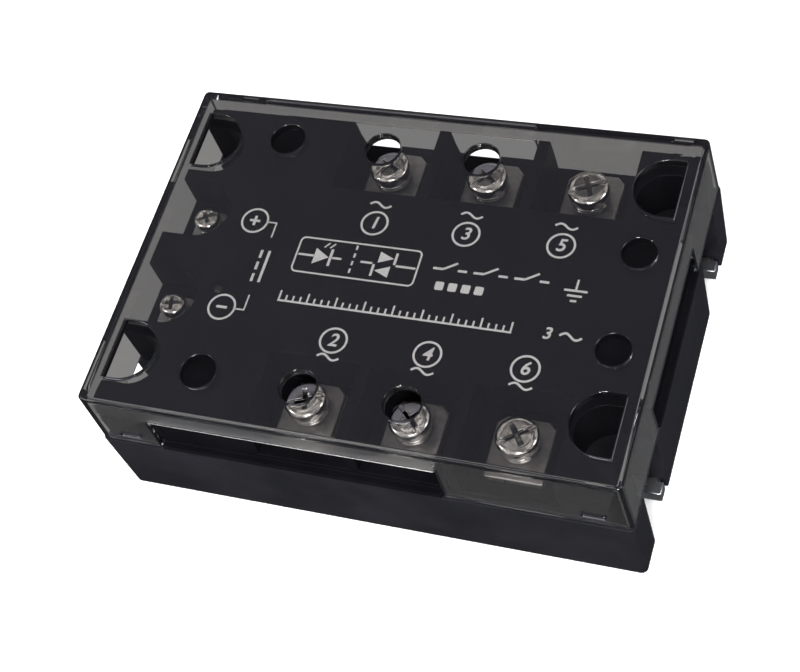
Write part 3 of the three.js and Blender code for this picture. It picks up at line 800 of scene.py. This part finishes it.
def every(tree, masks):
    """1 where all the masks are 1."""
    product = masks[0]
    for mask in masks[1:]:
        product = maths(tree, "MULTIPLY", product, mask)
    return product


def either(tree, masks):
    """1 where any of the masks is 1."""
    most = masks[0]
    for mask in masks[1:]:
        most = maths(tree, "MAXIMUM", most, mask)
    return most


def cover_regions(tree, where, normal):
    """Masks of the cover: its level faces; the frosted strip, on the front wall's inner face above
    the window; the dark places, which are the hole walls, the rim and the corners, where painted
    shade in the tint stands in for the light that runs off along the plastic; and the dull places,
    which are the hole walls, the corners and the far edges, where a painted black surface is mixed in."""
    low, high = box_mm("cover")
    roof, margin = high.z - COVER_PLATE, 0.3
    strip_bottom, strip_end = 28.4, 17.8  # over the window, up to its right end
    x, y, z = axes(tree, where)
    lean_x, lean_y, lean_z = (maths(tree, "ABSOLUTE", part) for part in axes(tree, normal))
    level = maths(tree, "GREATER_THAN", lean_z, 0.7)
    upright = maths(tree, "SUBTRACT", 1.0, level)
    holes = every(tree, [
        within(tree, x, low.x + 2.6, high.x - 2.6), within(tree, y, low.y + 2.5, high.y - 2.5),
        within(tree, z, roof + margin, high.z - margin), upright,
    ])
    inner_face = low.y + COVER_WALL
    strip = every(tree, [
        within(tree, x, low.x, strip_end), within(tree, y, inner_face, inner_face + 0.6),
        within(tree, z, strip_bottom, roof - margin), upright,
    ])
    rim = every(tree, [
        within(tree, z, high.z - 0.6, high.z - 0.01), within(tree, lean_z, 0.1, 0.97),
        maths(tree, "GREATER_THAN", y, inner_face),
    ])
    corners = every(tree, [within(tree, lean_x, 0.25, 0.98), within(tree, lean_y, 0.25, 0.98)])
    far_side = either(tree, [
        maths(tree, "GREATER_THAN", y, high.y - 1.0), maths(tree, "LESS_THAN", x, low.x + 1.1),
    ])
    far_edge = every(tree, [within(tree, z, roof - margin, high.z + margin), far_side])
    return level, strip, either(tree, [holes, rim, corners]), either(tree, [holes, corners, far_edge])


def clear_cover(name, top_tint, wall_tint):
    """Smoke-tinted clear plastic, with faint handling marks, a frosted strip and painted shade on its
    cut edges. Light that falls on what lies under it passes straight through, a little dimmed."""
    made, tree = blank_finish(name)
    where = place(tree)
    normal = node(tree, "ShaderNodeNewGeometry").outputs["True Normal"]
    level, strip, dark, dull = cover_regions(tree, where, normal)
    tint = blend_colour(tree, level, wall_tint, top_tint)
    left, right = -45, 17  # painted shade: the strip's tint darkens from one to the other, against light that falls brighter at its right
    left_part, right_part, painted_dark_part = 0.9, 0.6, 0.05
    along = span(tree, axes(tree, where)[0], left, right)
    painted_strip_shade = blend_colour(tree, along, scaled(wall_tint, left_part), scaled(wall_tint, right_part))
    tint = blend_colour(tree, strip, tint, painted_strip_shade)
    # painted shade: hole walls, rim and corners are tinted nearly black, for light that runs off along
    # the plastic
    tint = blend_colour(tree, dark, tint, scaled(wall_tint, painted_dark_part))
    haze = span(tree, noise(tree, where, 0.12, 4), 0.4, 0.75, 0.012, 0.05)
    frost = span(tree, noise(tree, where, 1.4, 3), 0.35, 0.65, 0.32, 0.36)
    glass = node(tree, "ShaderNodeBsdfPrincipled", {
        "Base Color": tint, "Roughness": blend_value(tree, strip, haze, frost), "IOR": 1.5,
        "Transmission Weight": 1.0, "Normal": bump(tree, noise(tree, where, 0.05, 2), 0.06),
        "Specular Tint": blend_colour(tree, strip, (1, 1, 1), (0.1, 0.1, 0.1)),
    }).outputs["BSDF"]
    # painted shade: an opaque near-black surface, partly mixed in at hole walls, corners and far edges,
    # stands in for the dark they show
    painted_black = node(tree, "ShaderNodeBsdfPrincipled", {
        "Base Color": (0.004, 0.004, 0.005, 1.0), "Roughness": 0.2, "Specular IOR Level": 0.3,
    }).outputs["BSDF"]
    edged = chosen(tree, maths(tree, "MULTIPLY", dull, 0.8), glass, painted_black)
    through = tuple(math.sqrt(value) for value in top_tint)
    straight = node(tree, "ShaderNodeBsdfTransparent", {"Color": (*through, 1.0)}).outputs["BSDF"]
    path = node(tree, "ShaderNodeLightPath").outputs
    soft = either(tree, [path["Is Shadow Ray"], path["Is Diffuse Ray"]])
    node(tree, "ShaderNodeOutputMaterial", {"Surface": chosen(tree, soft, edged, straight)})
    return made


def laminate(name):
    """Glass-fibre board under green solder mask, with the weave just showing."""
    made, tree = blank_finish(name)
    where = place(tree)
    weave = [
        node(tree, "ShaderNodeTexWave", {"Vector": where, "Scale": 0.9, "Distortion": 0.3},
             bands_direction=axis).outputs["Fac"]
        for axis in ("X", "Y")
    ]
    cloth = maths(tree, "MULTIPLY", *weave)
    colour = blend_colour(tree, cloth, (0.008, 0.07, 0.022), (0.012, 0.11, 0.035))
    tracks = noise(tree, place(tree, (1.0, 0.2, 1.0)), 0.5, 1)
    colour = blend_colour(tree, span(tree, tracks, 0.55, 0.57), colour, (0.02, 0.16, 0.05))
    surface(tree, {"Base Color": colour, "Roughness": 0.32, "Normal": bump(tree, cloth, 0.01)})
    return made


def banded(name, base, rings):
    """Lacquer with painted rings, at set distances along X from the middle between two of the
    resistors that lie in a row."""
    made, tree = blank_finish(name)
    where = place(tree)
    spacing, half_band = 20.4, 0.35  # between resistors, and half a ring's width
    wrapped = maths(tree, "PINGPONG", axes(tree, where)[0], spacing)
    cell = noise(tree, where, 1.5, 2)
    colour = blend_colour(tree, cell, base, scaled(base, 0.8))
    for start, paint in rings:
        inside = maths(tree, "COMPARE", wrapped, start, half_band)
        colour = blend_colour(tree, inside, colour, paint)
    surface(tree, {"Base Color": colour, "Roughness": 0.35, "Normal": bump(tree, cell, 0.02)})
    return made


def speckled(name, base, dark, roughness, scale, depth, metallic=0.0):
    """A fired, diced or cast surface with fine specks."""
    made, tree = blank_finish(name)
    where = place(tree)
    grain = noise(tree, where, scale, 4)
    colour = blend_colour(tree, span(tree, grain, 0.3, 0.7), dark, base)
    surface(tree, {
        "Base Color": colour, "Roughness": roughness, "Metallic": metallic,
        "Normal": bump(tree, grain, depth),
    })
    return made


def tinted_lens(name, tint):
    """Coloured clear epoxy with a slightly uneven polish."""
    made, tree = blank_finish(name)
    where = place(tree)
    haze = span(tree, noise(tree, where, 0.8, 3), 0.3, 0.7, 0.05, 0.2)
    surface(tree, {
        "Base Color": (*tint, 1.0), "Roughness": haze, "Transmission Weight": 0.7, "IOR": 1.5,
    })
    return made


# ---- Assembly --------------------------------------------------------------------------------------

def add_case():
    housing_black = moulded(
        "housing_black", (0.0028, 0.0028, 0.0036), (0.0046, 0.0046, 0.006), 0.42,
        specular=0.09, below_factor=2.8, cover_foot=box_mm("cover")[0].z,
    )
    smoke = clear_cover("cover_smoke", (0.63, 0.62, 0.61), (0.92, 0.91, 0.9))
    aluminium = plated("plate_aluminium", (0.4, 0.41, 0.42), (0.56, 0.57, 0.58), 0.3, (0.04, 1.0, 1.0))
    refined("housing", HOUSING_EDGE, housing_black, "housing_plastic")
    top = box_mm("cover")[1].z
    refined("cover", COVER_EDGE, smoke, "cover_clear", levels=(top, top - COVER_PLATE))
    refined("base_plate", PLATE_EDGE, aluminium, "base_aluminium")


def add_terminals():
    steel = plated("screw_nickel", (0.5, 0.48, 0.46), (0.8, 0.78, 0.76), 0.13, (0.6, 0.6, 0.6), 0.035)
    plate_steel = plated("clamp_nickel", (0.2, 0.193, 0.19), (0.28, 0.27, 0.265), 0.38, (0.12, 1.0, 1.0))
    copper = plated("terminal_tinned", (0.5, 0.44, 0.36), (0.66, 0.6, 0.5), 0.32, (1.0, 0.1, 1.0))
    for n in range(1, 7):
        add_screw_stack("load", n, (LOAD_SCREW, LOAD_COIL, LOAD_CLAMP), (steel, plate_steel), 0.0)
        refined(f"load_terminal_{n}", SMALL_EDGE, copper, "terminal_metal")
    for label in ("plus", "minus"):
        sizes = (INPUT_SCREW, INPUT_COIL, INPUT_CLAMP)
        add_screw_stack("input", label, sizes, (steel, plate_steel), -math.pi / 2)
        refined(f"input_terminal_{label}", SMALL_EDGE, copper, "terminal_metal")
    for n in range(1, 5):
        refined(f"housing_screw_{n}", TINY_EDGE, steel, "screw_steel")


def add_electronics():
    epoxy = speckled("package_black", (0.03, 0.03, 0.032), (0.018, 0.018, 0.019), 0.55, 2.5, 0.01)
    white = speckled("alumina_white", (0.82, 0.8, 0.76), (0.74, 0.72, 0.67), 0.6, 3.0, 0.006)
    silicon = speckled("silicon_grey", (0.2, 0.21, 0.24), (0.12, 0.13, 0.16), 0.25, 1.2, 0.002, 0.6)
    dip = speckled("capacitor_amber", (0.62, 0.37, 0.06), (0.5, 0.28, 0.04), 0.3, 0.6, 0.03)
    paints = [(2.2, (0.25, 0.02, 0.02)), (3.4, (0.05, 0.02, 0.01)), (4.6, (0.5, 0.28, 0.03))]
    lacquer = banded("resistor_lacquer", (0.56, 0.44, 0.28), paints)
    refined("control_board", TINY_EDGE, laminate("board_green"), "board_laminate")
    lens = tinted_lens("led_red", (0.03, 0.026, 0.028))
    led = soften(led_mesh(), 0.05, angle=50)
    piece("status_led", led, lens, "led_epoxy", *centre_mm("status_led").xy)
    for n in range(1, 4):
        coupler, film, power = f"optocoupler_{n}", f"snubber_capacitor_{n}", f"snubber_resistor_{n}"
        refined(coupler, TINY_EDGE, epoxy, "package_epoxy",
                extra=lambda bm, name=coupler: optocoupler_dimple(bm, name))
        refined(f"ceramic_substrate_{n}", TINY_EDGE, white, "ceramic_white")
        low, high = box_mm(film)
        middle = (low + high) / 2
        piece(film, capacitor_mesh(low, high), dip, "capacitor_case", middle.x, middle.y, low.z)
        low, high = box_mm(power)
        middle = (low + high) / 2
        piece(power, resistor_mesh(low, high), lacquer, "resistor_coat", *middle)
    for n in range(1, 7):
        refined(f"thyristor_chip_{n}", CHIP_EDGE, silicon, "chip_silicon")


def add_print():
    ink = speckled("mark_ink", (0.7, 0.7, 0.71), (0.58, 0.58, 0.59), 0.55, 1.6, 0.004)
    add_marks(ink)


# ---- Stage -----------------------------------------------------------------------------------------

def glow(tree, colour, strength):
    return node(tree, "ShaderNodeEmission", {"Color": (*colour, 1.0), "Strength": strength}).outputs[0]


def add_floor():
    """Pale paper, lifted to white where the camera sees it; reflections show it nearly black and
    the cover shows it grey, as flags set round the object would."""
    made, tree = blank_finish("floor_paper")
    paper = noise(tree, place(tree), 0.4, 3)
    colour = blend_colour(tree, paper, (0.93, 0.93, 0.93), (0.95, 0.95, 0.95))
    matt = node(tree, "ShaderNodeBsdfDiffuse", {"Color": colour}).outputs[0]
    path = node(tree, "ShaderNodeLightPath").outputs
    lifted = node(tree, "ShaderNodeAddShader", {0: matt, 1: glow(tree, (1, 1, 1), 0.3)}).outputs[0]
    direct = chosen(tree, path["Is Camera Ray"], matt, lifted)
    mirrored = chosen(tree, path["Is Glossy Ray"], direct, glow(tree, (0.9, 0.93, 1.0), 0.1))
    seen = chosen(tree, path["Is Transmission Ray"], mirrored, glow(tree, (1, 1, 0.99), 0.3))
    node(tree, "ShaderNodeOutputMaterial", {"Surface": seen})
    half, thickness = 3000, 40
    floor = as_object("floor", bar(half, half, -thickness, 0))
    floor.data.transform(Matrix.Scale(MM, 4))
    floor.data.materials.append(made)


def add_light(name, place_mm, width_mm, height_mm, power):
    """A soft box that is aimed at the middle of the object."""
    light = bpy.data.lights.new(name, "AREA")
    light.shape = "RECTANGLE"
    light.size = width_mm * MM
    light.size_y = height_mm * MM
    light.energy = power
    made = bpy.data.objects.new(name, light)
    made.location = Vector(place_mm) * MM
    aim_mm = (0, 0, 15)
    made.rotation_euler = (Vector(aim_mm) - Vector(place_mm)).to_track_quat("-Z", "Y").to_euler()
    made.visible_camera = False
    bpy.context.scene.collection.objects.link(made)


def add_world():
    """A white room. Shiny surfaces see it dim, and dimmer towards the back; the metal under the
    cover sees patches of lamps and shade overhead instead."""
    world = bpy.data.worlds.new("studio")
    bpy.context.scene.world = world
    world.use_nodes = True
    tree = world.node_tree
    tree.nodes.clear()
    path = node(tree, "ShaderNodeLightPath").outputs
    incoming = node(tree, "ShaderNodeNewGeometry").outputs["Incoming"]  # points back along the ray
    frontward, downward = axes(tree, incoming)[1:]
    room = span(tree, frontward, -0.6, 0.75, 0.25, 0.49)
    # A ray that bounced inside the plastic has passed one face besides the one that it leaves by;
    # a ray from the metal below has passed two or more.
    faces_passed = maths(tree, "SUBTRACT", path["Transmission Depth"], path["Is Transmission Ray"])
    under = maths(tree, "GREATER_THAN", faces_passed, 1.5)
    lamps = span(tree, noise(tree, incoming, 3.1, 1.0), 0.44, 0.57, 0.07, 1.6)
    overhead = span(tree, downward, -0.45, -0.15, 1.0, 0.15)
    strength = blend_value(tree, under, room, maths(tree, "MULTIPLY", lamps, overhead))
    cast = blend_colour(tree, under, (0.93, 0.945, 1.13), (1.0, 0.975, 0.96))
    white = node(tree, "ShaderNodeBackground", {"Color": (1, 1, 1, 1), "Strength": 1.0}).outputs[0]
    dim = node(tree, "ShaderNodeBackground", {"Color": cast, "Strength": strength}).outputs[0]
    node(tree, "ShaderNodeOutputWorld", {"Surface": chosen(tree, path["Is Glossy Ray"], white, dim)})


def add_camera():
    """Looks down on the object from in front and a little to the right."""
    camera = bpy.data.objects.new("camera", bpy.data.cameras.new("camera"))
    camera.data.sensor_width = 36
    camera.data.lens = 76.8
    camera.data.clip_start = 0.01
    camera.location = Vector((111.8, -150.0, 293.2)) * MM
    camera.rotation_euler = [math.radians(value) for value in (31.239, 13.396, 16.942)]
    bpy.context.scene.collection.objects.link(camera)
    bpy.context.scene.camera = camera


def add_stage():
    add_floor()
    add_world()
    add_light("key", (130, -440, 470), 140, 140, 4.5)
    add_light("left", (-460, -240, 400), 90, 150, 0.9)
    add_light("right", (520, 60, 380), 200, 300, 1.0)
    add_camera()
    view = bpy.context.scene.view_settings
    view.view_transform = "Standard"
    view.look = "None"


add_case()
add_terminals()
add_electronics()
add_print()
add_stage()
